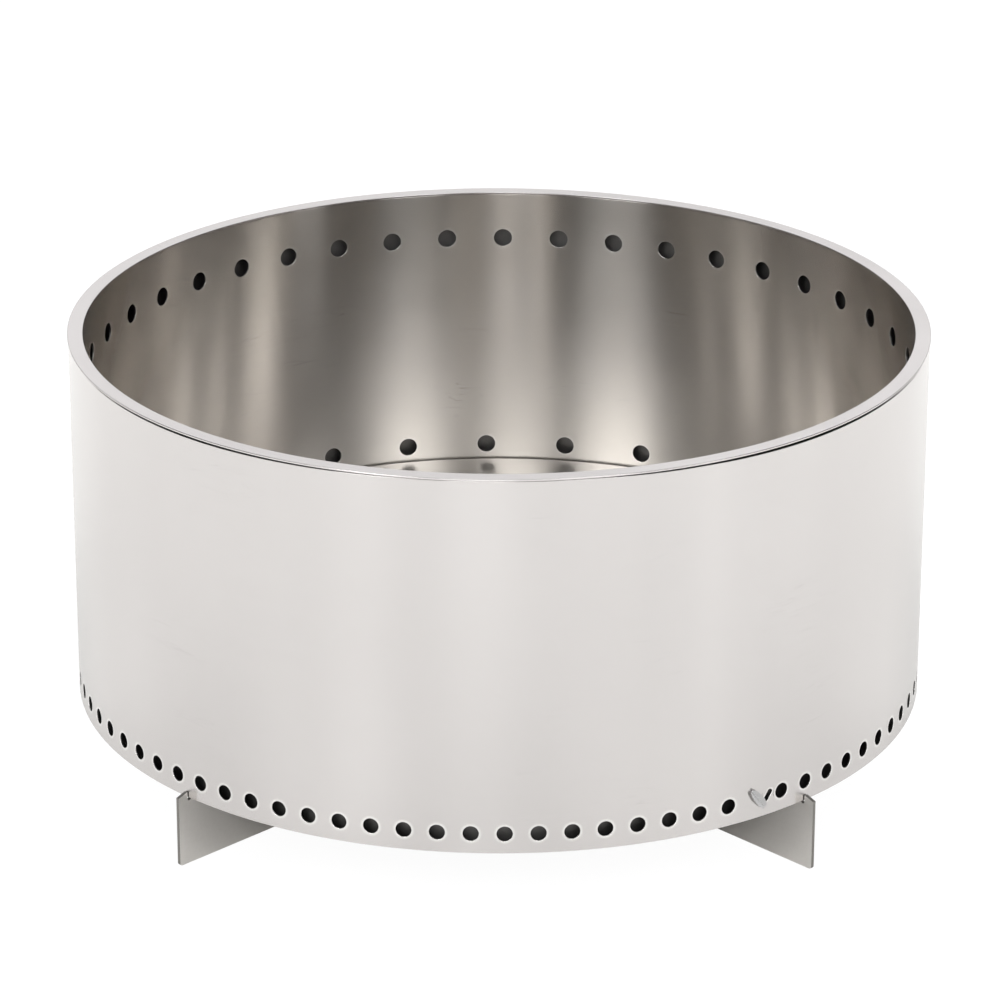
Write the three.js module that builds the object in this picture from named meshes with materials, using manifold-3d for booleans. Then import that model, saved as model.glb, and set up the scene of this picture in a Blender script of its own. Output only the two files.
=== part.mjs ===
// Smokeless fire pit: a double-walled round body of perforated stainless sheet that stands on a cross of two
// slotted plates. Millimetres, +Z up. The origin is on the ground under the centre of the body, and the angles of
// holes and plates are counted from the front (-Y) towards +X.

import * as THREE from 'three';
import { mergeVertices } from 'three/addons/utils/BufferGeometryUtils.js';
import Module from 'manifold-3d';

const wasm = await Module();
wasm.setup();

// Driving dimensions: the body
const ringDiameter = 711.2;
const bodyHeight = 314;
const footHeight = 58;

// Walls
const shellThickness = 1.5;
const barrelThickness = 1.5;
const weldSeamWidth = 3;
const weldSeamProud = 0.3;
const shadowGap = 1.2;

// Rings
const ringWidth = 12.8;
const ringThickness = 1.5;
const ringOverhang = 0.6;
const ringLip = 0.4;
const ringEdgeRadius = 0.5;
const bottomRingThickness = 2;
const bottomRingRise = 2;

// Rows of holes
const intakeDiameter = 12.7;
const intakeHeight = 16.8;
const intakeCount = 84;
const intakeTurn = 0.84;
const upperHoleDiameter = 16;
const upperHoleDrop = 42.6;
const upperHoleCount = 43;
const upperHoleTurn = -0.55;
const lowerHoleDiameter = 16;
const lowerHoleHeight = 73.6;
const lowerHoleCount = 30;
const lowerHoleTurn = 1.9;

// Floor and what carries it
const floorHeight = 60;
const floorThickness = 3;
const floorPlay = 2.4;
const bracketCount = 8;
const bracketTurn = 22.5;
const bracketWidth = 30;
const bracketReach = 24;
const bracketDrop = 26;
const bracketThickness = 2;

// Cross of plates
const plateThickness = 3;
const crossAngle = 88.4;
const crossTurn = -0.4;
const earReach = 10;
const earRise = 4.7;
const earEndRise = 1.6;
const earPlay = 0.7;
const reliefDiameter = 3.6;
const plateCornerRadius = 2.5;
const slotPlay = 0.4;

// Tab that takes the place of one intake hole, and the narrow slot beside it
const tabHoleIndex = 8;
const tabLength = 21;
const tabWidth = 6.5;
const tabThickness = 1;
const tabFoldAngle = 120;
const tabLean = -38;
const tabShift = 1.5;
const tabStemDiameter = 5;
const slotLength = 10.8;
const slotWidth = 3.2;
const slotLean = 35;
const slotShift = 12.4;

// Clearance where separate pieces seat on each other, and overrun of a cutter past the face that it cuts
const seatGap = 0.3;
const cutOverrun = 2;

// Facets
const wallFacets = 84;
const ringFacets = 112;
const holeFacets = 12;
const cornerFacets = 6;

// Derived sizes
const ringOuterRadius = ringDiameter / 2;
const ringInnerRadius = ringOuterRadius - ringWidth;
const shellOuterRadius = ringOuterRadius - ringOverhang;
const shellInnerRadius = shellOuterRadius - shellThickness;
const barrelInnerRadius = ringInnerRadius + ringLip;
const barrelOuterRadius = barrelInnerRadius + barrelThickness;
const bodyBottom = footHeight;
const bodyTop = bodyBottom + bodyHeight;
const barrelTop = bodyTop - ringThickness - seatGap;
const shellTop = bodyTop - ringThickness - shadowGap;
const floorTop = bodyBottom + floorHeight;
const floorBottom = floorTop - floorThickness;
const floorRadius = ringInnerRadius - floorPlay;
const tabHoleAngle = THREE.MathUtils.degToRad(intakeTurn) + (tabHoleIndex * 2 * Math.PI) / intakeCount;
const tabAngle = tabHoleAngle + tabShift / shellOuterRadius;

// Colours, roughness and metalness read from the photograph
const outerFinish = () => new THREE.MeshStandardMaterial({ color: 0xd9d7d4, roughness: 0.32, metalness: 1 });
const innerFinish = () => new THREE.MeshStandardMaterial({ color: 0xb9b4ac, roughness: 0.22, metalness: 1 });
const ringFinish = () => new THREE.MeshStandardMaterial({ color: 0xdedddb, roughness: 0.25, metalness: 1 });
const plateFinish = () => new THREE.MeshStandardMaterial({ color: 0xa9a7a2, roughness: 0.45, metalness: 1 });
const tabFinish = () => new THREE.MeshStandardMaterial({ color: 0xe4e4e6, roughness: 0.2, metalness: 1 });

const radians = (degrees) => THREE.MathUtils.degToRad(degrees);

// A closed geometry becomes a solid that can be joined and cut, and back.
function solidOf(geometry) {
  const bare = geometry.clone();
  bare.deleteAttribute('normal');
  bare.deleteAttribute('uv');
  const merged = mergeVertices(bare, seatGap / 100);
  const mesh = new wasm.Mesh({
    numProp: 3,
    vertProperties: new Float32Array(merged.attributes.position.array),
    triVerts: new Uint32Array(merged.index.array),
  });
  return new wasm.Manifold(mesh);
}

function geometryOf(solid) {
  const mesh = solid.getMesh();
  const geometry = new THREE.BufferGeometry();
  geometry.setAttribute('position', new THREE.BufferAttribute(new Float32Array(mesh.vertProperties), 3));
  geometry.setIndex(new THREE.BufferAttribute(new Uint32Array(mesh.triVerts), 1));
  geometry.computeVertexNormals();
  return geometry;
}

// A ring turned from a closed profile of [radius, height] points.
function turned(profile, facets, startAngle = 0) {
  const points = [...profile, profile[0]].map(([radius, height]) => new THREE.Vector2(radius, height));
  const geometry = new THREE.LatheGeometry(points, facets, startAngle, 2 * Math.PI);
  geometry.rotateX(Math.PI / 2);
  return solidOf(geometry);
}

function tube(innerRadius, outerRadius, bottom, top, facets, startAngle = 0) {
  const profile = [
    [innerRadius, bottom],
    [outerRadius, bottom],
    [outerRadius, top],
    [innerRadius, top],
  ];
  return turned(profile, facets, startAngle);
}

// A round cutter that lies along a radius through a wall.
function radialDrill(diameter, innerRadius, outerRadius, height, angle) {
  const length = outerRadius - innerRadius + 2 * cutOverrun;
  const geometry = new THREE.CylinderGeometry(diameter / 2, diameter / 2, length, holeFacets);
  geometry.translate(0, -(innerRadius + outerRadius) / 2, height);
  geometry.rotateZ(angle);
  return solidOf(geometry);
}

function rowOfDrills(count, turn, diameter, innerRadius, outerRadius, height, leftOut = -1) {
  const drills = [];
  for (let index = 0; index < count; index += 1) {
    if (index === leftOut) continue;
    const angle = turn + (index * 2 * Math.PI) / count;
    drills.push(radialDrill(diameter, innerRadius, outerRadius, height, angle));
  }
  return wasm.Manifold.union(drills);
}

function named(name, geometry, material) {
  const mesh = new THREE.Mesh(geometry, material);
  mesh.name = name;
  return mesh;
}

// The flat bead of the seam weld where a rolled wall closes, on the side away from the front. It is ground off one
// bead's width short of the wall's upper edge.
function seamWeld(innerRadius, outerRadius, bottom, top) {
  const depth = outerRadius - innerRadius;
  const geometry = new THREE.BoxGeometry(weldSeamWidth, depth, top - bottom);
  geometry.translate(0, (innerRadius + outerRadius) / 2, (bottom + top) / 2);
  return solidOf(geometry);
}

// The leaning slot beside the tab.
function leaningSlot() {
  const half = (slotLength - slotWidth) / 2;
  const outline = new THREE.Shape();
  outline.moveTo(-slotWidth / 2, -half);
  outline.absarc(0, -half, slotWidth / 2, -Math.PI, 0, false);
  outline.lineTo(slotWidth / 2, half);
  outline.absarc(0, half, slotWidth / 2, 0, Math.PI, false);
  outline.closePath();
  const depth = shellThickness + 2 * cutOverrun;
  const geometry = new THREE.ExtrudeGeometry(outline, { depth, bevelEnabled: false, curveSegments: cornerFacets });
  geometry.rotateZ(-radians(slotLean));
  geometry.rotateX(Math.PI / 2);
  geometry.translate(0, -shellInnerRadius + cutOverrun, bodyBottom + intakeHeight);
  geometry.rotateZ(tabHoleAngle + slotShift / shellOuterRadius);
  return solidOf(geometry);
}

// Outer shell: each facet is one intake hole wide, so that every hole lies in the middle of a flat facet. One hole
// gives way to the small hole of the tab's stem and the slot beside it. The upper edge stops short of the ring,
// which the barrel carries, and leaves a shadow line beneath it.
function outerShell() {
  const halfFacet = Math.PI / wallFacets;
  const start = radians(intakeTurn) + halfFacet;
  const wall = tube(shellInnerRadius, shellOuterRadius, bodyBottom, shellTop, wallFacets, start);
  const seamInner = shellOuterRadius - shellThickness / 2;
  const seamBottom = bodyBottom + intakeHeight * 2;
  const seam = seamWeld(seamInner, shellOuterRadius + weldSeamProud, seamBottom, shellTop - weldSeamWidth);
  const holes = rowOfDrills(
    intakeCount,
    radians(intakeTurn),
    intakeDiameter,
    shellInnerRadius,
    shellOuterRadius,
    bodyBottom + intakeHeight,
    tabHoleIndex,
  );
  const stemHole = radialDrill(
    tabStemDiameter + 2 * seatGap,
    shellInnerRadius,
    shellOuterRadius,
    bodyBottom + intakeHeight,
    tabAngle,
  );
  const cuts = wasm.Manifold.union([holes, stemHole, leaningSlot()]);
  return named('outer_shell', geometryOf(wall.add(seam).subtract(cuts)), outerFinish());
}

// Inner barrel: the fire's wall, with the high row that feeds the second burn and the low row at the floor.
function innerBarrel() {
  const wall = tube(barrelInnerRadius, barrelOuterRadius, bodyBottom, barrelTop, wallFacets);
  const upper = rowOfDrills(
    upperHoleCount,
    Math.PI + radians(upperHoleTurn),
    upperHoleDiameter,
    barrelInnerRadius,
    barrelOuterRadius,
    bodyTop - upperHoleDrop,
  );
  const lower = rowOfDrills(
    lowerHoleCount,
    Math.PI + radians(lowerHoleTurn),
    lowerHoleDiameter,
    barrelInnerRadius,
    barrelOuterRadius,
    bodyBottom + lowerHoleHeight,
  );
  return named('inner_barrel', geometryOf(wall.subtract(upper).subtract(lower)), innerFinish());
}

// Top ring: a flat cap over both walls, with its edges broken.
function topRing() {
  const bottom = bodyTop - ringThickness;
  const profile = [
    [ringInnerRadius, bottom],
    [ringOuterRadius, bottom],
    [ringOuterRadius, bodyTop - ringEdgeRadius],
    [ringOuterRadius - ringEdgeRadius, bodyTop],
    [ringInnerRadius + ringEdgeRadius, bodyTop],
    [ringInnerRadius, bodyTop - ringEdgeRadius],
  ];
  return named('top_ring', geometryOf(turned(profile, ringFacets)), ringFinish());
}

// Bottom ring: closes the air space between the walls just above their lower edges.
function bottomRing() {
  const bottom = bodyBottom + bottomRingRise;
  const facetShrink = Math.cos(Math.PI / wallFacets);
  const outer = shellInnerRadius * facetShrink - seatGap;
  const inner = (barrelOuterRadius + seatGap) / facetShrink;
  const ring = tube(inner, outer, bottom, bottom + bottomRingThickness, wallFacets);
  return named('bottom_ring', geometryOf(ring), outerFinish());
}

// Floor plate: a loose round plate that lifts out past the top ring.
function floorPlate() {
  const geometry = new THREE.CylinderGeometry(floorRadius, floorRadius, floorThickness, ringFacets);
  geometry.rotateX(Math.PI / 2);
  geometry.translate(0, 0, (floorTop + floorBottom) / 2);
  return named('floor_plate', geometry, innerFinish());
}

// Floor bracket: an angle of folded strip with one leg against the barrel and one under the floor plate.
function floorBracket(number) {
  const back = barrelInnerRadius * Math.cos(Math.PI / wallFacets) - seatGap;
  const backAtEdge = Math.sqrt(back * back - (bracketWidth / 2) ** 2);
  const top = floorBottom - seatGap;
  const outline = new THREE.Shape();
  outline.moveTo(0, 0);
  outline.lineTo(0, -bracketDrop);
  outline.lineTo(-bracketThickness, -bracketDrop);
  outline.lineTo(-bracketThickness, -2 * bracketThickness);
  outline.absarc(-2 * bracketThickness, -2 * bracketThickness, bracketThickness, 0, Math.PI / 2, false);
  outline.lineTo(-bracketReach, -bracketThickness);
  outline.lineTo(-bracketReach, 0);
  outline.closePath();
  const geometry = new THREE.ExtrudeGeometry(outline, {
    depth: bracketWidth,
    bevelEnabled: false,
    curveSegments: cornerFacets,
  });
  geometry.rotateX(Math.PI / 2);
  geometry.translate(backAtEdge, bracketWidth / 2, top);
  const mesh = named(`floor_bracket_${number}`, geometry, innerFinish());
  mesh.rotation.z = radians(bracketTurn) + ((number - 1) * 2 * Math.PI) / bracketCount;
  return mesh;
}

// Side view of a cross plate: a long plate on edge, with an ear at each end that rises past the shell's lower edge
// and slopes down to the plate's end. A round relief opens the corner between ear and seat.
function plateOutline() {
  const seat = bodyBottom - seatGap;
  const earTop = bodyBottom + earRise;
  const earEnd = bodyBottom + earEndRise;
  const earInner = shellOuterRadius + earPlay;
  const end = shellOuterRadius + earReach;
  const relief = reliefDiameter / 2;
  const reliefHeight = seat - relief / 2;
  const reliefMouth = Math.asin((seat - reliefHeight) / relief);
  const corner = plateCornerRadius;
  const outline = new THREE.Shape();
  outline.moveTo(-end + corner, 0);
  outline.lineTo(end - corner, 0);
  outline.absarc(end - corner, corner, corner, -Math.PI / 2, 0, false);
  outline.lineTo(end, earEnd);
  outline.lineTo(earInner, earTop);
  outline.lineTo(earInner, reliefHeight);
  outline.absarc(earInner - relief, reliefHeight, relief, 0, -Math.PI - reliefMouth, true);
  outline.lineTo(-earInner + relief + relief * Math.cos(reliefMouth), seat);
  outline.absarc(-earInner + relief, reliefHeight, relief, reliefMouth, -Math.PI, true);
  outline.lineTo(-earInner, earTop);
  outline.lineTo(-end, earEnd);
  outline.lineTo(-end, corner);
  outline.absarc(-end + corner, corner, corner, Math.PI, 1.5 * Math.PI, false);
  return outline;
}

function standingPlate() {
  const geometry = new THREE.ExtrudeGeometry(plateOutline(), {
    depth: plateThickness,
    bevelEnabled: false,
    curveSegments: cornerFacets,
  });
  geometry.translate(0, 0, -plateThickness / 2);
  geometry.rotateX(Math.PI / 2);
  return solidOf(geometry);
}

// Half-lap slot: as wide as the other plate needs where it crosses at the cross's angle, and half the height deep.
function slotCutter(fromHeight, toHeight) {
  const skew = radians(90 - crossAngle);
  const width = plateThickness / Math.cos(skew) + plateThickness * Math.tan(skew) + 2 * slotPlay;
  const geometry = new THREE.BoxGeometry(width, plateThickness + 2 * cutOverrun, toHeight - fromHeight);
  geometry.translate(0, 0, (fromHeight + toHeight) / 2);
  return solidOf(geometry);
}

function crossPlate(name, solid, angle) {
  const mesh = named(name, geometryOf(solid), plateFinish());
  mesh.rotation.z = angle - Math.PI / 2;
  return mesh;
}

function crossPlates() {
  const seat = bodyBottom - seatGap;
  const lap = seat / 2;
  const halfAngle = radians(crossAngle / 2);
  const turn = radians(crossTurn);
  const lowerSolid = standingPlate().subtract(slotCutter(lap - seatGap / 2, seat + cutOverrun));
  const upperSolid = standingPlate().subtract(slotCutter(-cutOverrun, lap + seatGap / 2));
  return [
    crossPlate('cross_plate_lower', lowerSolid, turn - halfAngle),
    crossPlate('cross_plate_upper', upperSolid, turn + halfAngle),
  ];
}

// Vent tab: a strip folded to an open V, held in a hole of the shell by a round stem.
function ventTab() {
  const halfFold = radians(tabFoldAngle / 2);
  const wing = new THREE.Shape();
  const run = tabWidth * Math.sin(halfFold);
  const rise = tabWidth * Math.cos(halfFold);
  const skin = tabThickness / Math.sin(halfFold);
  wing.moveTo(0, 0);
  wing.lineTo(run, rise);
  wing.lineTo(run - tabThickness / Math.cos(halfFold), rise);
  wing.lineTo(0, skin);
  wing.lineTo(-run + tabThickness / Math.cos(halfFold), rise);
  wing.lineTo(-run, rise);
  wing.closePath();
  const folded = new THREE.ExtrudeGeometry(wing, { depth: tabLength, bevelEnabled: false });
  folded.translate(0, 0, -tabLength / 2);
  folded.rotateX(Math.PI);
  folded.rotateY(radians(tabLean));
  folded.translate(0, -shellOuterRadius - 2 * seatGap, 0);
  const stemLength = shellThickness + 3 * tabThickness;
  const stem = new THREE.CylinderGeometry(tabStemDiameter / 2, tabStemDiameter / 2, stemLength, holeFacets);
  stem.translate(0, -shellOuterRadius + stemLength / 2 - tabThickness, 0);
  const solid = solidOf(folded).add(solidOf(stem));
  const mesh = named('vent_tab', geometryOf(solid), tabFinish());
  mesh.position.z = bodyBottom + intakeHeight;
  mesh.rotation.z = tabAngle;
  return mesh;
}

const group = new THREE.Group();
group.add(outerShell(), innerBarrel(), topRing(), bottomRing(), floorPlate());
for (let number = 1; number <= bracketCount; number += 1) {
  group.add(floorBracket(number));
}
group.add(...crossPlates(), ventTab());

export default group;
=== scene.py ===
"""Smokeless fire pit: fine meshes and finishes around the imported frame.

Lengths are in metres, +Z is up, and the front is towards -Y. Angles round the body run from the
front towards +X.
"""

import math

import bpy
from mathutils import Matrix, Vector


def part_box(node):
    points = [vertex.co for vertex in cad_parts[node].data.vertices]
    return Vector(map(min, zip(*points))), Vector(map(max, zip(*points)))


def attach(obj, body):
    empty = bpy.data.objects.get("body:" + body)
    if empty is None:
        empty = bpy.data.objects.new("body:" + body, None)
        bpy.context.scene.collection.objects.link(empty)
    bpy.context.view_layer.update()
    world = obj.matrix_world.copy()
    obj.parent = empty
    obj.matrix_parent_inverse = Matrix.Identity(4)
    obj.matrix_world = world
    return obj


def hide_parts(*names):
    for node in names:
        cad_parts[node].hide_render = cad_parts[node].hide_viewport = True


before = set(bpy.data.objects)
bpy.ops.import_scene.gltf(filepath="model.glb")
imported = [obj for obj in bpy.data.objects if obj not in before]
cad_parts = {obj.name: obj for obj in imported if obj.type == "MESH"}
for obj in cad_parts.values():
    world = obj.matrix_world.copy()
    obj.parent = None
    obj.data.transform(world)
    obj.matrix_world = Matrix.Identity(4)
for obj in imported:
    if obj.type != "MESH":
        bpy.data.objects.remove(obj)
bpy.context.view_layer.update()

MM = 0.001

# Sizes read from the frame
SHELL_LOW, SHELL_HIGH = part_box("outer_shell")
BARREL_LOW, BARREL_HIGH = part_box("inner_barrel")
RING_LOW, RING_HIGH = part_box("top_ring")
BASE_RING_LOW, BASE_RING_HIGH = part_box("bottom_ring")
FLOOR_LOW, FLOOR_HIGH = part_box("floor_plate")
SHELL_OUTER = -SHELL_LOW.y
BARREL_OUTER = -BARREL_LOW.y
RING_OUTER = -RING_LOW.y
FLOOR_RADIUS = -FLOOR_LOW.y
BODY_BOTTOM = SHELL_LOW.z
BODY_TOP = RING_HIGH.z

# Sizes of the sheet, and its rows of holes. A row's turn is the angle of its first hole.
WALL = 1.5 * MM
RING_WIDTH = 12.8 * MM
BASE_RING_PLAY = 0.3 * MM
INTAKE = {
    "count": 84,
    "turn": math.radians(0.84),
    "radius": 6.35 * MM,
    "height": BODY_BOTTOM + 16.8 * MM,
}
UPPER = {
    "count": 43,
    "turn": math.pi - math.radians(0.55),
    "radius": 8 * MM,
    "height": BODY_TOP - 42.6 * MM,
}
LOWER = {
    "count": 30,
    "turn": math.pi + math.radians(1.9),
    "radius": 8 * MM,
    "height": BODY_BOTTOM + 73.6 * MM,
}

# One place of the intake row has the tab's stem hole and a leaning slot, and no hole of the row.
# shift is how far round the shell they lie from that place, and half is half the way between the
# centres of a slot's two ends.
TAB_HOLE = 8
STEM_HOLE = {"shift": 1.5 * MM, "radius": 2.8 * MM, "half": 0.0, "lean": 0.0}
TAB_SLOT = {"shift": 12.4 * MM, "radius": 2.4 * MM, "half": 3.1 * MM, "lean": math.radians(35)}

# The folded leaf of the tab, and its stem
TAB = {
    "length": 22 * MM,
    "half_width": 3.9 * MM,
    "tip": 0.9 * MM,
    "skin": 0.8 * MM,
    "clear": 0.6 * MM,
    "slope": math.tan(math.radians(30)),
    "lean": math.radians(-38),
    "rows": 24,
    "across": 10,
}
STEM_RADIUS = 2.5 * MM
STEM_FACETS = 24

# The gap under the ring: its mean, how far it swings between the tacks, and how far it leans from
# side to side
SHADOW_GAP = {"mean": 1.2 * MM, "swing": 0.9 * MM, "lean": 0.4 * MM, "least": 0.2 * MM}
TACKS = 4

# The weld bead at the back. It stands least proud between two ripples, and they bow by ripple_bow.
SEAM = {
    "low": BODY_BOTTOM + 33.6 * MM,
    "width": 3 * MM,
    "proud": 0.3 * MM,
    "least_share": 0.7,
    "ripple": 2.2 * MM,
    "ripple_bow": 0.45,
    "rows_a_ripple": 6,
    "across": 6,
}

# Radii of edges
HOLE_EDGE = 0.2 * MM
SHEET_EDGE = 0.3 * MM
RING_EDGE = 0.5 * MM
FLOOR_EDGE = 0.5 * MM
TAB_EDGE = 0.15 * MM
BRACKET_EDGE = 0.2 * MM
PLATE_EDGE = 0.25 * MM

# How finely the meshes are divided
EDGE_STEPS = 3
BEVEL_SEGMENTS = 2
INTAKE_COLUMNS = 8
INNER_COLUMNS = 12
SHELL_ROWS = 6
TURN_STEPS = 720
FLOOR_TURN_STEPS = 240
FLOOR_RINGS = 12

# Half the height of the bands of cells that hold the inner wall's holes, and how far from the
# middle of a band the plain wall between them starts
INNER_BAND = 14 * MM
INNER_BAND_ENDS = 3 * INNER_BAND

# The loops of points round a hole's rim: how far out each lies and how bright a highlight is
# painted on it. Round a slot they are closer in.
HALO = ((2.3 * MM, 0.0), (1.1 * MM, 0.75), (0.4 * MM, 1.0))
SLOT_HALO = 0.65
# The attribute that carries the highlight painted round the rims of holes, and its strength on each
# wall
RIM_HIGHLIGHT_ATTRIBUTE = "rim_highlight"
SHELL_RIM_HIGHLIGHT = 1.0
BARREL_RIM_HIGHLIGHT = 0.35

BRACKETS = 8

# The directions, in degrees, that the wide faces of the cross plates look to
LOWER_PLATE_FACING = 45.4
UPPER_PLATE_FACING = 133.8


def radial(angle):
    """Unit vector away from the axis; angles run from the front towards +X."""
    return Vector((math.sin(angle), -math.cos(angle), 0.0))


def new_object(name, points, normals, faces, materials, body, slots=None, rim_highlight=None):
    """A smooth mesh object, with vertex normals of its own if they are given, riding on a body.
    slots gives each face's material, and the last list how bright a highlight is painted at each
    point."""
    mesh = bpy.data.meshes.new(name)
    mesh.from_pydata(points, [], faces)
    mesh.update()
    mesh.polygons.foreach_set("use_smooth", [True] * len(mesh.polygons))
    if normals is not None:
        mesh.normals_split_custom_set_from_vertices(normals)
    for material in materials:
        mesh.materials.append(material)
    if slots is not None:
        mesh.polygons.foreach_set("material_index", slots)
    if rim_highlight is not None:
        mesh.attributes.new(RIM_HIGHLIGHT_ATTRIBUTE, "FLOAT", "POINT").data.foreach_set("value", rim_highlight)
    obj = bpy.data.objects.new(name, mesh)
    bpy.context.scene.collection.objects.link(obj)
    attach(obj, body)
    return obj


def side_reach(cut):
    """How far a hole or slot reaches to either side of its middle."""
    return cut["radius"] + cut["half"] * math.sin(cut["lean"])


def round_holes(row):
    """A row of equal round holes."""
    pitch = 2 * math.pi / row["count"]
    shape = {"radius": row["radius"], "half": 0.0, "lean": 0.0}
    return [{"angle": row["turn"] + k * pitch, **shape} for k in range(row["count"])]


class Sheet:
    """A closed band of sheet laid out by angle and height, with loops of points round its holes."""

    def __init__(self, radius, shine):
        self.radius = radius
        self.shine = shine
        self.points = []
        # How bright a highlight is painted at each point
        self.rim_highlight = []
        self.faces = []
        self.holes = []

    def add(self, angle, height, rim_highlight=0.0):
        self.points.append((angle, height))
        self.rim_highlight.append(rim_highlight * self.shine)
        return len(self.points) - 1

    def row(self, angles, height):
        return [self.add(angle, height) for angle in angles]

    def join_rows(self, lower, upper):
        """Quads between two rows with as many points."""
        for i in range(len(lower)):
            j = (i + 1) % len(lower)
            self.faces.append((lower[i], lower[j], upper[j], upper[i]))

    def zip_rows(self, lower, upper):
        """Triangles between two rows whose counts differ."""
        start = self.points[lower[0]][0]
        turn = 2 * math.pi

        def unwound(row, k):
            lap, index = divmod(k, len(row))
            return (self.points[row[index]][0] - start) % turn + lap * turn

        first = min(range(len(upper)), key=lambda k: (self.points[upper[k]][0] - start) % turn)
        upper = upper[first:] + upper[:first]
        i = j = 0
        while i < len(lower) or j < len(upper):
            low_next = unwound(lower, i + 1) if i < len(lower) else math.inf
            up_next = unwound(upper, j + 1) if j < len(upper) else math.inf
            a, b = lower[i % len(lower)], upper[j % len(upper)]
            if low_next <= up_next:
                self.faces.append((a, lower[(i + 1) % len(lower)], b))
                i += 1
            else:
                self.faces.append((a, upper[(j + 1) % len(upper)], b))
                j += 1

    def band(self, cuts, middle, columns, half_height):
        """A band of cells with a round hole or a slot in each. Returns its lowest and highest rows
        of points."""
        count = len(cuts)
        low, high = middle - half_height, middle + half_height
        lefts = []
        for k in range(count + 1):
            left, right = cuts[k - 1], cuts[k % count]
            from_left = left["angle"] + side_reach(left) / self.radius
            to_right = right["angle"] - side_reach(right) / self.radius
            if k == 0:
                from_left -= 2 * math.pi
            elif k == count:
                to_right += 2 * math.pi
            lefts.append((from_left + to_right) / 2)
        angles = []
        for k in range(count):
            width = lefts[k + 1] - lefts[k]
            angles += [lefts[k] + width * i / columns for i in range(columns)]
        lower, upper = self.row(angles, low), self.row(angles, high)
        rise = (high - low) / columns
        heights = [low + rise * j for j in range(1, columns)]
        sides = [[self.add(lefts[k], height) for height in heights] for k in range(count)]
        total = count * columns
        for k in range(count):
            a, b = k * columns, (k + 1) * columns
            border = [lower[i % total] for i in range(a, b)]
            border += [lower[b % total]] + sides[(k + 1) % count]
            border += [upper[i % total] for i in range(b, a, -1)]
            border += [upper[a]] + sides[k][::-1]
            self.hole(border, cuts[k], middle)
        return lower, upper

    def hole(self, border, cut, middle):
        """Rings of points from a cell's border in to its hole or slot."""
        size = len(border)
        along = (math.sin(cut["lean"]), math.cos(cut["lean"]))
        to_first_corner = -0.75 * math.pi
        ways = []
        for i in range(size):
            t = to_first_corner + 2 * math.pi * i / size
            ways.append((math.cos(t), math.sin(t)))

        def loop(out, rim_highlight):
            reach = cut["radius"] + HOLE_EDGE + out
            ring = []
            for cx, cz in ways:
                shift = math.copysign(cut["half"], cx * along[0] + cz * along[1])
                turned = cut["angle"] + (reach * cx + shift * along[0]) / self.radius
                ring.append(self.add(turned, middle + reach * cz + shift * along[1], rim_highlight))
            return ring

        outer = border
        width = SLOT_HALO if cut["half"] else 1.0
        # Each loop carries a painted highlight of its own brightness
        for out, rim_highlight in HALO:
            ring = loop(out * width, rim_highlight)
            self.ring_faces(outer, ring)
            outer = ring
        last = loop(0.0, 1.0)
        self.ring_faces(outer, last)
        self.holes.append((last, ways))

    def ring_faces(self, outer, inner):
        for i in range(len(outer)):
            j = (i + 1) % len(outer)
            self.faces.append((outer[i], outer[j], inner[j], inner[i]))


# The order of a wall's materials
OUTER_FACE, INNER_FACE, OUTER_LIP, CUT_WALL = range(4)


def wall_from_sheet(name, sheet, bottom_row, top_row, inner, outer, materials, body):
    """Gives a sheet its thickness, with the edges of holes and rims rounded. materials are those of
    the outer face, the inner face, the lips on the outer side, and the cut walls with the lips on
    the inner side."""
    points, normals, faces, rim_highlight = [], [], [], []

    def place(angle, height, radius, normal, shine):
        points.append(radial(angle) * radius + Vector((0, 0, height)))
        normals.append(normal.normalized())
        rim_highlight.append(shine)
        return len(points) - 1

    # Each point keeps the highlight painted on it
    for (angle, height), shine in zip(sheet.points, sheet.rim_highlight):
        place(angle, height, outer, radial(angle), shine)
    for (angle, height), shine in zip(sheet.points, sheet.rim_highlight):
        place(angle, height, inner, -radial(angle), shine)
    count = len(sheet.points)
    faces += sheet.faces
    faces += [tuple(i + count for i in reversed(face)) for face in sheet.faces]
    slots = [OUTER_FACE] * len(sheet.faces) + [INNER_FACE] * len(sheet.faces)

    def edge(row, ways, size, flip, shine):
        """Rounds a rim over from the outer face to the inner one. ways point out of the metal."""
        rings = [list(row)]
        steps = [(k, 1) for k in range(1, EDGE_STEPS + 1)]
        steps += [(k, -1) for k in range(EDGE_STEPS, 0, -1)]
        for k, side in steps:
            phase = 0.5 * math.pi * k / EDGE_STEPS
            ring = []
            for index, (cx, cz) in zip(row, ways):
                angle, height = sheet.points[index]
                reach = size * math.sin(phase)
                depth = size * (1 - math.cos(phase))
                base = outer - depth if side > 0 else inner + depth
                moved = angle + reach * cx / sheet.radius
                along = Vector((math.cos(angle), math.sin(angle), 0.0))
                way = along * cx + Vector((0, 0, cz))
                normal = radial(angle) * side * math.cos(phase) + way * math.sin(phase)
                ring.append(place(moved, height + reach * cz, base, normal, shine))
            rings.append(ring)
        rings.append([i + count for i in row])
        for step, (a, b) in enumerate(zip(rings, rings[1:])):
            for i in range(len(a)):
                j = (i + 1) % len(a)
                quad = (a[i], a[j], b[j], b[i])
                faces.append(quad[::-1] if flip else quad)
                slots.append(OUTER_LIP if step < EDGE_STEPS else CUT_WALL)

    for loop, ways in sheet.holes:
        edge(loop, [(-cx, -cz) for cx, cz in ways], HOLE_EDGE, False, sheet.shine)
    edge(top_row, [(0.0, 1.0)] * len(top_row), SHEET_EDGE, False, 0.0)
    edge(bottom_row, [(0.0, -1.0)] * len(bottom_row), SHEET_EDGE, True, 0.0)
    return new_object(name, points, normals, faces, materials, body, slots, rim_highlight)


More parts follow.
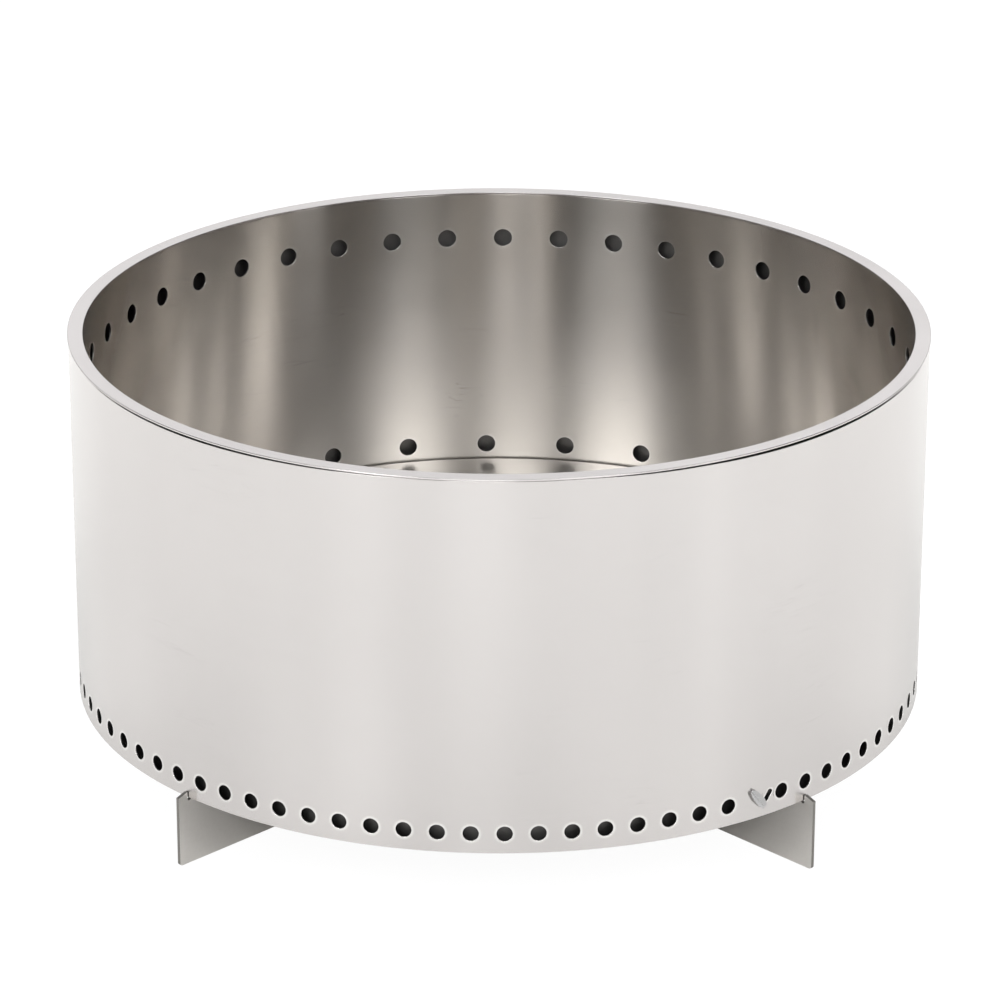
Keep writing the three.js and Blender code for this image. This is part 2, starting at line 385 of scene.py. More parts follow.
def rounded_section(inner, outer, low, high, top_edge, bottom_edge):
    """A rounded rectangle, from the inner top on. Each point is its radius and height, and then its
    normal's two parts."""
    section = []
    corners = (
        (inner + top_edge, high - top_edge, top_edge, math.pi),
        (outer - top_edge, high - top_edge, top_edge, 0.5 * math.pi),
        (outer - bottom_edge, low + bottom_edge, bottom_edge, 0.0),
        (inner + bottom_edge, low + bottom_edge, bottom_edge, -0.5 * math.pi),
    )
    for radius, height, size, start in corners:
        for k in range(EDGE_STEPS + 2):
            t = start - 0.5 * math.pi * k / (EDGE_STEPS + 1)
            cr, cz = math.cos(t), math.sin(t)
            section.append((radius + size * cr, height + size * cz, cr, cz))
    return section


def revolved(name, section, material, body):
    """Turns a closed section round the axis."""
    steps = TURN_STEPS
    points, normals, faces = [], [], []
    size = len(section)
    for s in range(steps):
        way = radial(2 * math.pi * s / steps)
        for radius, height, cr, cz in section:
            points.append(way * radius + Vector((0, 0, height)))
            normals.append(way * cr + Vector((0, 0, cz)))
    for s in range(steps):
        a, b = s * size, ((s + 1) % steps) * size
        for i in range(size):
            j = (i + 1) % size
            faces.append((a + j, b + j, b + i, a + i))
    return new_object(name, points, normals, faces, [material], body)


def disc(name, radius, low, high, material, body):
    """A round plate with a rounded rim and evenly spaced rings of points."""
    edge, rings, steps = FLOOR_EDGE, FLOOR_RINGS, FLOOR_TURN_STEPS
    profile = []
    for k in range(1, rings):
        profile.append((radius * k / rings, high, 0.0, 1.0))
    for height, start in ((high - edge, 0.5 * math.pi), (low + edge, 0.0)):
        for k in range(EDGE_STEPS + 1):
            t = start - 0.5 * math.pi * k / EDGE_STEPS
            cr, cz = math.cos(t), math.sin(t)
            profile.append((radius - edge + edge * cr, height + edge * cz, cr, cz))
    for k in range(rings - 1, 0, -1):
        profile.append((radius * k / rings, low, 0.0, -1.0))
    points, normals, faces = [], [], []
    size = len(profile)
    for s in range(steps):
        way = radial(2 * math.pi * s / steps)
        for r, z, cr, cz in profile:
            points.append(way * r + Vector((0, 0, z)))
            normals.append(way * cr + Vector((0, 0, cz)))
    top, bottom = len(points), len(points) + 1
    points += [Vector((0, 0, high)), Vector((0, 0, low))]
    normals += [Vector((0, 0, 1)), Vector((0, 0, -1))]
    for s in range(steps):
        a, b = s * size, ((s + 1) % steps) * size
        faces.append((top, a, b))
        faces.append((bottom, b + size - 1, a + size - 1))
        for i in range(size - 1):
            faces.append((a + i + 1, b + i + 1, b + i, a + i))
    return new_object(name, points, normals, faces, [material], body)


# Materials

QUARTER_TURN = 0.25
BUMP_DEPTH = 0.05 * MM
NOISE_SPAN = (0.35, 0.65)  # where most of a noise's values lie
TONE_SPAN = (0.36, 0.64)
EDGE_TO_FACE = (0.7, 0.95)  # cosines from a plate's cut edge to its wide face

# Scales of the noises, along X, Y and Z
ROUND_GRAIN = (5, 5, 1500)
UPRIGHT_BANDS = (9, 9, 0.4)
SMUDGES = (7, 7, 9)
SCRATCH_FIELD = (12, 12, 150)
GAP_CLOUDS = (14, 14, 14)
GAP_PITS = (900, 900, 900)
PLATE_CLOUDS = (6, 6, 6)
BLASTED_GRAIN = (300, 300, 300)
FLOOR_GRAIN = (4, 900, 4)
TAB_GRAIN = (60, 60, 600)

# Scratches run where their noise crosses its middle, and only where there are smudges
SCRATCH_WIDTH = 0.006
SCRATCHED_SMUDGES = (0.5, 0.62)
SCRATCH_SHADE = 0.72
SCRATCH_ROUGHNESS = 0.12
SCRATCH_DEPTH = 0.6

# The colour of the highlight painted round the rims of holes
RIM_HIGHLIGHT_COLOUR = (0.86, 0.85, 0.835)
CUT_STEEL = (0.3, 0.29, 0.275)
CUT_ROUGHNESS = 0.25


class Nodes:
    """Short calls for building a material's nodes."""

    def __init__(self, name):
        self.material = bpy.data.materials.new(name)
        self.material.use_nodes = True
        self.tree = self.material.node_tree
        self.tree.nodes.clear()
        self.output = self.tree.nodes.new("ShaderNodeOutputMaterial")
        self.shader = self.tree.nodes.new("ShaderNodeBsdfPrincipled")
        self.tree.links.new(self.shader.outputs[0], self.output.inputs["Surface"])

    def node(self, kind, **values):
        made = self.tree.nodes.new(kind)
        for key, value in values.items():
            setattr(made, key, value)
        return made

    def link(self, a, b):
        self.tree.links.new(a, b)

    def noise(self, scale, detail, rough):
        """Noise in the object's own space. scale is how many of its waves go into a metre of X, Y
        and Z."""
        source = self.node("ShaderNodeTexCoord")
        mapping = self.node("ShaderNodeMapping")
        mapping.inputs["Scale"].default_value = scale
        self.link(source.outputs["Object"], mapping.inputs["Vector"])
        made = self.node("ShaderNodeTexNoise")
        made.inputs["Scale"].default_value = 1.0
        made.inputs["Detail"].default_value = detail
        made.inputs["Roughness"].default_value = rough
        self.link(mapping.outputs["Vector"], made.inputs["Vector"])
        return made.outputs["Fac"]

    def span(self, value, low, high, to_low, to_high):
        """Maps low to to_low and high to to_high, and holds both ends."""
        made = self.node("ShaderNodeMapRange")
        made.inputs["From Min"].default_value = low
        made.inputs["From Max"].default_value = high
        made.inputs["To Min"].default_value = to_low
        made.inputs["To Max"].default_value = to_high
        self.link(value, made.inputs["Value"])
        return made.outputs["Result"]

    def math(self, operation, a, b=0.0):
        made = self.node("ShaderNodeMath", operation=operation)
        for socket, value in zip(made.inputs, (a, b)):
            if isinstance(value, (int, float)):
                socket.default_value = value
            else:
                self.link(value, socket)
        return made.outputs[0]

    def blend(self, amount, first, second):
        """From the first colour at 0 to the second at 1. The sockets are taken by number, because a
        Mix node has others of the same names."""
        made = self.node("ShaderNodeMix", data_type="RGBA")
        self.link(amount, made.inputs["Factor"])
        first_colour, second_colour, mixed_colour = made.inputs[6], made.inputs[7], made.outputs[2]
        for socket, value in ((first_colour, first), (second_colour, second)):
            if isinstance(value, tuple):
                socket.default_value = (*value, 1.0)
            else:
                self.link(value, socket)
        return mixed_colour

    def turned_from(self, facing):
        """1 where the surface is turned away from the line of facing, 0 where it lies across it."""
        geometry = self.node("ShaderNodeNewGeometry")
        dot = self.node("ShaderNodeVectorMath", operation="DOT_PRODUCT")
        dot.inputs[1].default_value = facing
        self.link(geometry.outputs["Normal"], dot.inputs[0])
        return self.span(self.math("ABSOLUTE", dot.outputs["Value"]), *EDGE_TO_FACE, 1.0, 0.0)

    def bump(self, height, strength):
        made = self.node("ShaderNodeBump")
        made.inputs["Strength"].default_value = strength
        made.inputs["Distance"].default_value = BUMP_DEPTH
        self.link(height, made.inputs["Height"])
        self.link(made.outputs["Normal"], self.shader.inputs["Normal"])

    def metal(self, anisotropic=0.0, radial_grain=False):
        """Bare metal. With radial_grain its highlights are drawn out across grain that runs round
        the axis."""
        self.shader.inputs["Metallic"].default_value = 1.0
        self.shader.inputs["Anisotropic"].default_value = anisotropic
        if radial_grain:
            tangent = self.node("ShaderNodeTangent", direction_type="RADIAL", axis="Z")
            self.link(tangent.outputs[0], self.shader.inputs["Tangent"])
            self.shader.inputs["Anisotropic Rotation"].default_value = QUARTER_TURN


def rolled_steel(name, light, dark, rough, anisotropic, grain, scuffs):
    """Rolled sheet with its grain round the body, faint upright bands, smudges, fine scratches, and
    a highlight painted round the rims of holes.
    rough is its least and greatest roughness, and grain and scuffs are how strong they are."""
    n = Nodes(name)
    n.metal(anisotropic, radial_grain=True)
    grain_lines = n.noise(ROUND_GRAIN, 2.0, 0.6)
    bands = n.noise(UPRIGHT_BANDS, 2.0, 0.55)
    smudge = n.noise(SMUDGES, 5.0, 0.6)
    scratch_field = n.noise(SCRATCH_FIELD, 2.0, 0.4)
    off_line = n.math("ABSOLUTE", n.math("SUBTRACT", scratch_field, 0.5))
    scratch = n.span(off_line, 0.0, SCRATCH_WIDTH, 1.0, 0.0)
    worn = n.math("MULTIPLY", scratch, n.span(smudge, *SCRATCHED_SMUDGES, 0.0, 1.0))
    tone = n.math("ADD", n.math("MULTIPLY", bands, 0.7), n.math("MULTIPLY", smudge, 0.3))
    colour = n.blend(n.span(tone, *TONE_SPAN, 0.0, 1.0), dark, light)
    scuffed = tuple(c * SCRATCH_SHADE for c in dark)
    colour = n.blend(n.math("MULTIPLY", worn, scuffs), colour, scuffed)
    # Lighter towards the rims of holes: a painted highlight
    rim_highlight_node = n.node("ShaderNodeAttribute", attribute_type="GEOMETRY", attribute_name=RIM_HIGHLIGHT_ATTRIBUTE)
    colour = n.blend(rim_highlight_node.outputs["Fac"], colour, RIM_HIGHLIGHT_COLOUR)
    n.link(colour, n.shader.inputs["Base Color"])
    cloud = n.math("ADD", n.math("MULTIPLY", smudge, 0.6), n.math("MULTIPLY", grain_lines, 0.4))
    scratch_rough = n.math("MULTIPLY", worn, SCRATCH_ROUGHNESS * scuffs)
    roughness = n.math("ADD", n.span(cloud, *NOISE_SPAN, *rough), scratch_rough)
    n.link(roughness, n.shader.inputs["Roughness"])
    n.bump(n.math("ADD", grain_lines, n.math("MULTIPLY", worn, -SCRATCH_DEPTH * scuffs)), grain)
    return n.material


def painted_shade_steel(name, light, dark, rough):
    """Dark steel standing for the shade inside the air space and in the holes: painted shade,
    clouded and pitted.
    """
    n = Nodes(name)
    n.metal()
    cloud = n.noise(GAP_CLOUDS, 5.0, 0.6)
    pits = n.noise(GAP_PITS, 2.0, 0.5)
    colour = n.blend(n.span(cloud, *NOISE_SPAN, 0.0, 1.0), dark, light)
    n.link(colour, n.shader.inputs["Base Color"])
    n.link(n.span(cloud, *NOISE_SPAN, *rough), n.shader.inputs["Roughness"])
    n.bump(pits, 0.2)
    return n.material


def plate_steel(name, light, dark, rough, grain_scale, grain, anisotropic=0.0, facing=None):
    """Flat plate with straight or even grain. Where it is turned away from the line of facing, it
    is a cut edge, darker and rougher."""
    n = Nodes(name)
    n.metal(anisotropic)
    lines = n.noise(grain_scale, 3.0, 0.65)
    cloud = n.noise(PLATE_CLOUDS, 4.0, 0.55)
    tone = n.math("ADD", n.math("MULTIPLY", lines, 0.35), n.math("MULTIPLY", cloud, 0.65))
    colour = n.blend(n.span(tone, *NOISE_SPAN, 0.0, 1.0), dark, light)
    roughness = n.span(tone, *NOISE_SPAN, *rough)
    if facing is not None:
        cut = n.turned_from(facing)
        colour = n.blend(cut, colour, CUT_STEEL)
        roughness = n.math("ADD", roughness, n.math("MULTIPLY", cut, CUT_ROUGHNESS))
    n.link(colour, n.shader.inputs["Base Color"])
    n.link(roughness, n.shader.inputs["Roughness"])
    n.bump(lines, grain)
    return n.material


def base_steel(name, azimuth):
    """Blasted plate whose wide faces look to azimuth, in degrees, and away from it."""
    return plate_steel(
        name,
        light=(0.79, 0.768, 0.74),
        dark=(0.74, 0.718, 0.69),
        rough=(0.3, 0.33),
        grain_scale=BLASTED_GRAIN,
        grain=0.08,
        facing=tuple(radial(math.radians(azimuth))),
    )


outer_steel = rolled_steel(
    "outer_steel",
    light=(0.686, 0.664, 0.656),
    dark=(0.656, 0.634, 0.626),
    rough=(0.17, 0.22),
    anisotropic=0.9,
    grain=0.08,
    scuffs=0.25,
)
inner_steel = rolled_steel(
    "inner_steel",
    light=(0.732, 0.705, 0.677),
    dark=(0.642, 0.615, 0.587),
    rough=(0.17, 0.21),
    anisotropic=1.0,
    grain=0.06,
    scuffs=0.5,
)
rim_steel = rolled_steel(
    "rim_steel",
    light=(0.722, 0.692, 0.688),
    dark=(0.672, 0.642, 0.638),
    rough=(0.2, 0.26),
    anisotropic=0.4,
    grain=0.1,
    scuffs=0.2,
)
weld_steel = rolled_steel(
    "weld_steel",
    light=(0.62, 0.60, 0.57),
    dark=(0.50, 0.48, 0.45),
    rough=(0.28, 0.36),
    anisotropic=0.0,
    grain=0.1,
    scuffs=0.1,
)
# The steel inside the air space is made dark as painted shade
gap_shade_steel = painted_shade_steel(
    "gap_shade_steel", light=(0.22, 0.215, 0.21), dark=(0.16, 0.155, 0.15), rough=(0.45, 0.6)
)
# The cut walls of the shell's holes are nearly black as painted shade
hole_wall_shade = painted_shade_steel(
    "hole_wall_shade", light=(0.07, 0.068, 0.065), dark=(0.04, 0.039, 0.038), rough=(0.5, 0.65)
)
floor_steel = plate_steel(
    "floor_steel",
    light=(0.66, 0.64, 0.61),
    dark=(0.60, 0.58, 0.55),
    rough=(0.3, 0.38),
    grain_scale=FLOOR_GRAIN,
    grain=0.06,
    anisotropic=0.3,
)
tab_steel = plate_steel(
    "tab_steel",
    light=(0.62, 0.62, 0.625),
    dark=(0.5, 0.5, 0.505),
    rough=(0.2, 0.3),
    grain_scale=TAB_GRAIN,
    grain=0.1,
)


# The body


def make_outer_shell():
    """The outer wall, with its intake holes. Its upper edge follows the gap under the ring."""
    inner, outer = SHELL_OUTER - WALL, SHELL_OUTER
    low, high = BODY_BOTTOM + SHEET_EDGE, SHELL_HIGH.z - SHEET_EDGE
    sheet = Sheet(outer, SHELL_RIM_HIGHLIGHT)
    half_cell = math.pi * outer / INTAKE["count"]
    cuts = round_holes(INTAKE)
    at = cuts.pop(TAB_HOLE)["angle"]
    for cut in (TAB_SLOT, STEM_HOLE):
        cuts.insert(TAB_HOLE, {**cut, "angle": at + cut["shift"] / outer})
    lower, upper = sheet.band(cuts, INTAKE["height"], INTAKE_COLUMNS, half_cell)
    angles = [sheet.points[i][0] for i in lower]
    bottom = sheet.row(angles, low)
    sheet.join_rows(bottom, lower)
    last = upper
    start = INTAKE["height"] + half_cell
    for k in range(1, SHELL_ROWS + 1):
        row = sheet.row(angles, start + (high - start) * k / SHELL_ROWS)
        sheet.join_rows(last, row)
        last = row
    for i, angle in zip(last, angles):
        sheet.points[i] = (angle, RING_LOW.z - shadow_gap(angle) - SHEET_EDGE)
    # The face inside the air space is dark steel and the holes' cut walls are nearly black, both as
    # painted shade
    finishes = [outer_steel, gap_shade_steel, outer_steel, hole_wall_shade]
    obj = wall_from_sheet(
        "outer_shell_fine", sheet, bottom, last, inner, outer, finishes, "fire_body"
    )
    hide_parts("outer_shell")


def shadow_gap(angle):
    """Gap between the shell's edge and the ring, which opens between the places where the shell is
    tacked on."""
    swing = SHADOW_GAP["swing"] * math.cos(TACKS * angle)
    lean = SHADOW_GAP["lean"] * math.sin(angle)
    return max(SHADOW_GAP["mean"] - swing + lean, SHADOW_GAP["least"])


def make_shell_seam():
    """The rippled weld bead that closes the rolled shell, on the side away from the front."""
    low, high = SEAM["low"], SHELL_HIGH.z - SEAM["width"]
    rows = round((high - low) / SEAM["ripple"] * SEAM["rows_a_ripple"])
    across = SEAM["across"]
    hidden = (1, -1)  # the bead's two corners inside the sheet
    points, faces = [], []
    for r in range(rows + 1):
        height = low + (high - low) * r / rows
        fade = min(1.0, r / SEAM["rows_a_ripple"], (rows - r) / SEAM["rows_a_ripple"])
        for k in range(across + 1):
            u = 2 * k / across - 1
            phase = math.pi * (height / SEAM["ripple"] + SEAM["ripple_bow"] * u * u)
            share = SEAM["least_share"] + (1 - SEAM["least_share"]) * abs(math.sin(phase))
            proud = SEAM["proud"] * share * (1 - u * u) * fade
            points.append(Vector((-u * SEAM["width"] / 2, SHELL_OUTER + proud, height)))
        for u in hidden:
            points.append(Vector((-u * SEAM["width"] / 2, SHELL_OUTER - WALL / 2, height)))
    size = across + 1 + len(hidden)
    for r in range(rows):
        a, b = r * size, (r + 1) * size
        for k in range(size):
            j = (k + 1) % size
            faces.append((a + k, a + j, b + j, b + k))
    faces.append(tuple(range(size - 1, -1, -1)))
    faces.append(tuple(rows * size + k for k in range(size)))
    seam = new_object("shell_weld_fine", points, None, faces, [weld_steel], "fire_body")
    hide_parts("outer_shell")


def make_inner_barrel():
    """The inner wall, with a row of holes near its top and one just above the floor."""
    inner, outer = BARREL_OUTER - WALL, BARREL_OUTER
    low, high = BODY_BOTTOM + SHEET_EDGE, BARREL_HIGH.z - SHEET_EDGE
    sheet = Sheet(inner, BARREL_RIM_HIGHLIGHT)
    low_band = sheet.band(round_holes(LOWER), LOWER["height"], INNER_COLUMNS, INNER_BAND)
    high_band = sheet.band(round_holes(UPPER), UPPER["height"], INNER_COLUMNS, INNER_BAND)
    low_angles = [sheet.points[i][0] for i in low_band[0]]
    high_angles = [sheet.points[i][0] for i in high_band[0]]
    bottom = sheet.row(low_angles, low)
    sheet.join_rows(bottom, low_band[0])
    middle_low = sheet.row(low_angles, LOWER["height"] + INNER_BAND_ENDS)
    middle_high = sheet.row(high_angles, UPPER["height"] - INNER_BAND_ENDS)
    sheet.join_rows(low_band[1], middle_low)
    sheet.zip_rows(middle_low, middle_high)
    sheet.join_rows(middle_high, high_band[0])
    top = sheet.row(high_angles, high)
    sheet.join_rows(high_band[1], top)
    # The face towards the air space is dark steel as painted shade
    finishes = [gap_shade_steel, inner_steel, inner_steel, inner_steel]
    obj = wall_from_sheet(
        "inner_barrel_fine", sheet, bottom, top, inner, outer, finishes, "fire_body"
    )
    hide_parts("inner_barrel")


def make_rings():
    """The flat ring on top, and the narrow one that closes the gap between the walls below."""
    section = rounded_section(
        RING_OUTER - RING_WIDTH, RING_OUTER, RING_LOW.z, RING_HIGH.z, RING_EDGE, SHEET_EDGE
    )
    ring = revolved("top_ring_fine", section, rim_steel, "fire_body")
    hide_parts("top_ring")
    inner, outer = BARREL_OUTER + BASE_RING_PLAY, SHELL_OUTER - WALL - BASE_RING_PLAY
    low, high = BASE_RING_LOW.z, BASE_RING_HIGH.z
    section = rounded_section(inner, outer, low, high, SHEET_EDGE, SHEET_EDGE)
    # The ring down in the air space is dark steel as painted shade
    base = revolved("bottom_ring_fine", section, gap_shade_steel, "fire_body")
    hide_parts("bottom_ring")


def make_floor_plate():
    """The loose plate that the fire lies on."""
    plate = disc("floor_plate_fine", FLOOR_RADIUS, FLOOR_LOW.z, FLOOR_HIGH.z, floor_steel, "floor")
    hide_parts("floor_plate")


def make_vent_tab():
    """The folded leaf that stands off the shell, and the round stem that holds it."""
    at = INTAKE["turn"] + 2 * math.pi * TAB_HOLE / INTAKE["count"]
    at += STEM_HOLE["shift"] / SHELL_OUTER
    out, side = radial(at), Vector((math.cos(at), math.sin(at), 0.0))
    middle = Vector((0, 0, INTAKE["height"]))
    along = side * math.sin(TAB["lean"]) + Vector((0, 0, math.cos(TAB["lean"])))
    across = side * math.cos(TAB["lean"]) - Vector((0, 0, math.sin(TAB["lean"])))
    rows, columns = TAB["rows"], TAB["across"]
    points, faces = [], []
    for skin in (TAB["skin"], 0.0):
        for r in range(rows + 1):
            s = 2 * r / rows - 1
            bulge = math.sqrt(max(0.0, 1 - s * s))
            width = TAB["tip"] + (TAB["half_width"] - TAB["tip"]) * bulge
            for k in range(columns + 1):
                u = (2 * k / columns - 1) * width
                stand = SHELL_OUTER + TAB["clear"] + skin + abs(u) * TAB["slope"]
                place = middle + out * stand + along * (s * TAB["length"] / 2)
                points.append(place + across * u)
    size = columns + 1
    back = (rows + 1) * size
    for r in range(rows):
        for k in range(columns):
            a = r * size + k
            quad = (a, a + 1, a + 1 + size, a + size)
            faces.append(quad)
            faces.append(tuple(i + back for i in reversed(quad)))
    rim = list(range(size))
    rim += [r * size + columns for r in range(1, rows + 1)]
    rim += [rows * size + k for k in range(columns - 1, -1, -1)]
    rim += [r * size for r in range(rows - 1, 0, -1)]
    for i, a in enumerate(rim):
        b = rim[(i + 1) % len(rim)]
        faces.append((b, a, a + back, b + back))
    leaf = new_object("vent_tab_fine", points, None, faces, [tab_steel], "fire_body")
    break_edges(leaf, TAB_EDGE)
    stem_points, stem_faces = [], []
    facets = STEM_FACETS
    for stand in (SHELL_OUTER - 2 * WALL, SHELL_OUTER + TAB["clear"] + TAB["skin"] / 2):
        for k in range(facets):
            t = 2 * math.pi * k / facets
            ring = (side * math.cos(t) + Vector((0, 0, math.sin(t)))) * STEM_RADIUS
            stem_points.append(middle + out * stand + ring)
    for k in range(facets):
        j = (k + 1) % facets
        stem_faces.append((k, j, j + facets, k + facets))
    stem_faces.append(tuple(range(facets - 1, -1, -1)))
    stem_faces.append(tuple(range(facets, 2 * facets)))
    stem = new_object("vent_tab_stem_fine", stem_points, None, stem_faces, [tab_steel], "fire_body")
    for piece in (leaf, stem):
        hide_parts("vent_tab")


def break_edges(obj, edge):
    """Softly broken edges."""
    bevel = obj.modifiers.new("broken_edges", "BEVEL")
    bevel.width = edge
    bevel.segments = BEVEL_SEGMENTS
    bevel.limit_method = "ANGLE"
    bevel.harden_normals = True


def dress_cad(node, material, edge):
    """Gives a CAD node its finish and softly broken edges."""
    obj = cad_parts[node]
    obj.data.materials.clear()
    obj.data.materials.append(material)
    break_edges(obj, edge)


make_outer_shell()
make_shell_seam()
make_inner_barrel()
make_rings()
make_floor_plate()
for number in range(1, BRACKETS + 1):
    dress_cad(f"floor_bracket_{number}", inner_steel, BRACKET_EDGE)
lower_steel = base_steel("base_steel_lower", LOWER_PLATE_FACING)
upper_steel = base_steel("base_steel_upper", UPPER_PLATE_FACING)
dress_cad("cross_plate_lower", lower_steel, PLATE_EDGE)
dress_cad("cross_plate_upper", upper_steel, PLATE_EDGE)
make_vent_tab()


# Stage: a pale floor, a soft surround with wide light panels, and the camera

STAGE_RADIUS = 60
STAGE_CORNERS = 128

# The floor is grey paper to the object, and nearly shadowless white to the camera, as in a cut-out
# studio picture.
FLOOR_LOOK = {"paper": (0.5, 0.497, 0.49, 1), "glow": 0.95, "shade": 0.06}


def make_floor():
    """The ground that the object stands on."""
    bpy.ops.mesh.primitive_circle_add(
        vertices=STAGE_CORNERS, radius=STAGE_RADIUS, fill_type="NGON", location=(0, 0, 0)
    )
    ground = bpy.context.object
    ground.name = "stage_floor"
    n = Nodes("stage_floor")
    n.shader.inputs["Base Color"].default_value = (*[FLOOR_LOOK["shade"]] * 3, 1)
    n.shader.inputs["Roughness"].default_value = 1.0
    n.shader.inputs["Specular IOR Level"].default_value = 0.0
    n.shader.inputs["Emission Color"].default_value = (1, 1, 1, 1)
    n.shader.inputs["Emission Strength"].default_value = FLOOR_LOOK["glow"]
    paper = n.node("ShaderNodeBsdfDiffuse")
    paper.inputs["Color"].default_value = FLOOR_LOOK["paper"]
    path = n.node("ShaderNodeLightPath")
    mix = n.node("ShaderNodeMixShader")
    n.link(path.outputs["Is Camera Ray"], mix.inputs[0])
    n.link(paper.outputs[0], mix.inputs[1])
    n.link(n.shader.outputs[0], mix.inputs[2])
    n.link(mix.outputs[0], n.output.inputs["Surface"])
    ground.data.materials.append(n.material)


# Light panels of the surround. Azimuths run from the front towards +X, and low and high are
# elevations, all in degrees.
PANELS = (
    {"azimuth": 26, "half_width": 9, "low": 22, "high": 50, "light": 4.6},
    {"azimuth": 28, "half_width": 6, "low": 0, "high": 14, "light": 1.0},
    {"azimuth": -35, "half_width": 10, "low": 14, "high": 46, "light": 5.4},
    {"azimuth": -35, "half_width": 6, "low": 0, "high": 12, "light": 1.2},
    {"azimuth": -5, "half_width": 8, "low": 8, "high": 34, "light": 4.4},
    {"azimuth": 56, "half_width": 5, "low": 0, "high": 30, "light": 2.4},
    {"azimuth": 108, "half_width": 5, "low": 14, "high": 40, "light": 0.4},
    {"azimuth": 180, "half_width": 30, "low": 12, "high": 34, "light": 1.02},
    {"azimuth": -130, "half_width": 10, "low": 6, "high": 30, "light": 0.4},
)
PANEL_SOFTNESS = 2
SURROUND = 0.08
DOME = {"low": 46, "high": 58, "light": 1.0}


def make_surround():
    """The dim surround with its dome and light panels. The steel mirrors it, and the camera sees
    white."""
    world = bpy.data.worlds.new("surround")
    bpy.context.scene.world = world
    world.use_nodes = True
    tree = world.node_tree
    tree.nodes.clear()
    new, link = tree.nodes.new, tree.links.new

    def calc(operation, a, b=0.0, clamp=False):
        made = new("ShaderNodeMath")
        made.operation = operation
        made.use_clamp = clamp
        for socket, value in zip(made.inputs, (a, b)):
            if isinstance(value, (int, float)):
                socket.default_value = value
            else:
                link(value, socket)
        return made.outputs[0]

    def window(away, half):
        """1 where away is less than half, with a soft edge."""
        soft = math.radians(PANEL_SOFTNESS)
        return calc("DIVIDE", calc("SUBTRACT", half + soft / 2, away), soft, clamp=True)

    source = new("ShaderNodeTexCoord")
    split = new("ShaderNodeSeparateXYZ")
    link(source.outputs["Generated"], split.inputs[0])
    azimuth = calc("ARCTAN2", split.outputs["X"], calc("MULTIPLY", split.outputs["Y"], -1.0))
    elevation = calc("ARCSINE", split.outputs["Z"])
    dome = new("ShaderNodeMapRange")
    dome.interpolation_type = "SMOOTHSTEP"
    dome.inputs["From Min"].default_value = math.radians(DOME["low"])
    dome.inputs["From Max"].default_value = math.radians(DOME["high"])
    dome.inputs["To Min"].default_value = SURROUND
    dome.inputs["To Max"].default_value = DOME["light"]
    link(elevation, dome.inputs["Value"])
    total = dome.outputs["Result"]
    for panel in PANELS:
        turned = calc("SUBTRACT", azimuth, math.radians(panel["azimuth"]))
        aside = calc("ARCCOSINE", calc("COSINE", turned))
        middle = math.radians(panel["low"] + panel["high"]) / 2
        above = calc("ABSOLUTE", calc("SUBTRACT", elevation, middle))
        across = window(aside, math.radians(panel["half_width"]))
        upright = window(above, math.radians(panel["high"] - panel["low"]) / 2)
        lit = calc("MULTIPLY", calc("MULTIPLY", across, upright), panel["light"])
        total = calc("ADD", total, lit)
    light = new("ShaderNodeBackground")
    link(total, light.inputs["Strength"])
    plain = new("ShaderNodeBackground")
    path = new("ShaderNodeLightPath")
    mix = new("ShaderNodeMixShader")
    for socket in (light.inputs["Color"], plain.inputs["Color"]):
        socket.default_value = (1, 1, 1, 1)
    link(path.outputs["Is Camera Ray"], mix.inputs[0])
    link(light.outputs[0], mix.inputs[1])
    link(plain.outputs[0], mix.inputs[2])
    output = new("ShaderNodeOutputWorld")
    link(mix.outputs[0], output.inputs["Surface"])


# Camera, from a fit of the photograph's holes and edges
CAMERA_DISTANCE = 3.9668
CAMERA_ELEVATION = math.radians(21.8176)
CAMERA_TARGET_HEIGHT = BODY_BOTTOM + 155.3 * MM
CAMERA_YAW = math.radians(-0.0169)
CAMERA_ROLL = math.radians(0.1257)
FOCAL_PIXELS = 4730.92
IMAGE_PIXELS = 1000
SENSOR = 36.0


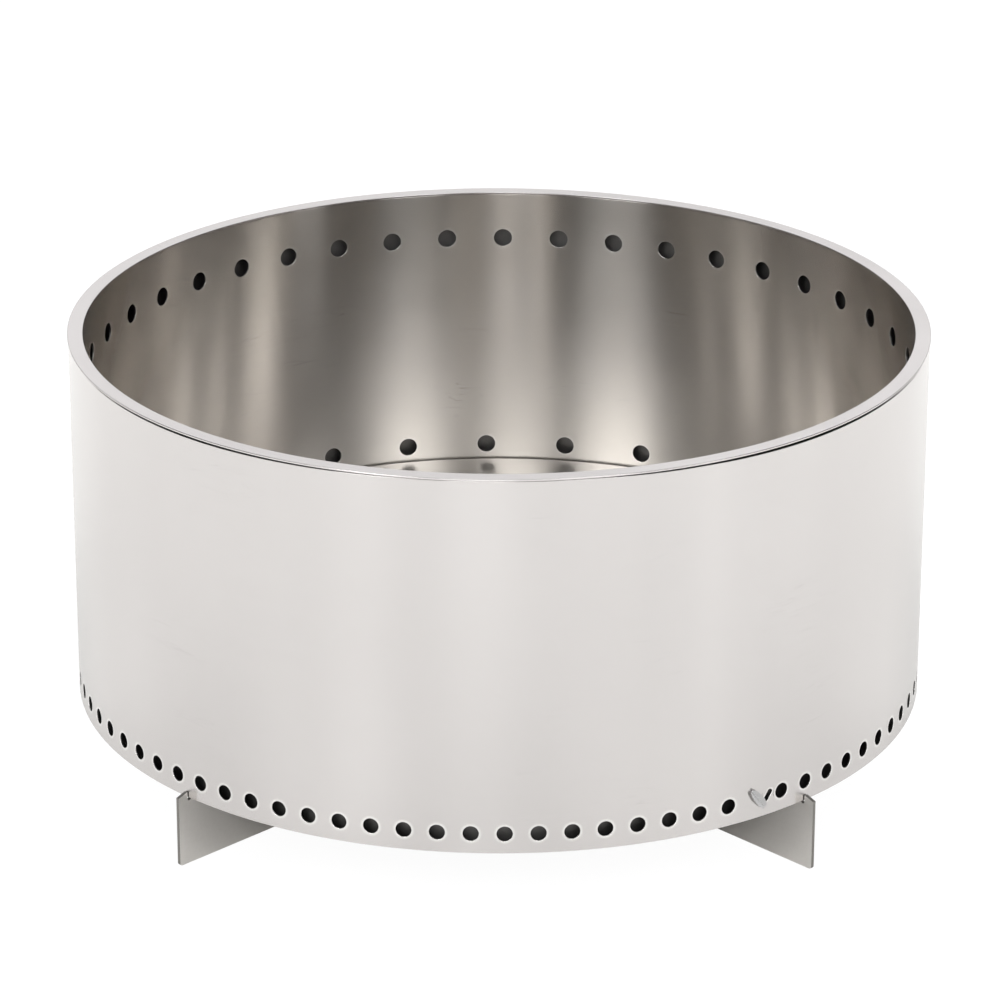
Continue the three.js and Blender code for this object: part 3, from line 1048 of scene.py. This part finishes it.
def make_camera():
    """The photograph's view."""
    data = bpy.data.cameras.new("camera")
    data.sensor_width = SENSOR
    data.lens = FOCAL_PIXELS * SENSOR / IMAGE_PIXELS
    cam = bpy.data.objects.new("camera", data)
    bpy.context.scene.collection.objects.link(cam)
    ahead = Vector((0, math.cos(CAMERA_ELEVATION), -math.sin(CAMERA_ELEVATION)))
    right = Vector((1, 0, 0))
    up = right.cross(ahead)
    place = Vector((0, 0, CAMERA_TARGET_HEIGHT)) - ahead * CAMERA_DISTANCE
    yaw = Matrix.Rotation(CAMERA_YAW, 3, "Z")
    ahead, right, up = yaw @ ahead, yaw @ right, yaw @ up
    rolled_right = right * math.cos(CAMERA_ROLL) + up * math.sin(CAMERA_ROLL)
    rolled_up = up * math.cos(CAMERA_ROLL) - right * math.sin(CAMERA_ROLL)
    turned = Matrix((rolled_right, rolled_up, -ahead)).transposed()
    cam.matrix_world = Matrix.Translation(place) @ turned.to_4x4()
    bpy.context.scene.camera = cam


# Wide soft lights in a ring, which brighten the floor up to the feet and don't show in the steel
FILL = {"count": 6, "distance": 6.0, "elevation": math.radians(31), "size": 2.2, "power": 178}


def make_fill_lights():
    """The ring of wide lights."""
    for k in range(FILL["count"]):
        angle = 2 * math.pi * (k + 0.5) / FILL["count"]
        way = radial(angle) * math.cos(FILL["elevation"])
        way += Vector((0, 0, math.sin(FILL["elevation"])))
        data = bpy.data.lights.new(f"fill_{k + 1}", "AREA")
        data.shape = "DISK"
        data.size = FILL["size"]
        data.energy = FILL["power"]
        lamp = bpy.data.objects.new(data.name, data)
        bpy.context.scene.collection.objects.link(lamp)
        lamp.location = way * FILL["distance"]
        lamp.rotation_mode = "QUATERNION"
        lamp.rotation_quaternion = way.to_track_quat("Z", "Y")
        lamp.visible_glossy = False
        lamp.visible_camera = False


# Light reaches the middle of the inner wall by many reflections
GLOSSY_BOUNCES = 10
ALL_BOUNCES = 14

make_floor()
make_surround()
make_fill_lights()
make_camera()
bpy.context.scene.view_settings.view_transform = "Standard"
bpy.context.scene.cycles.glossy_bounces = GLOSSY_BOUNCES
bpy.context.scene.cycles.max_bounces = ALL_BOUNCES
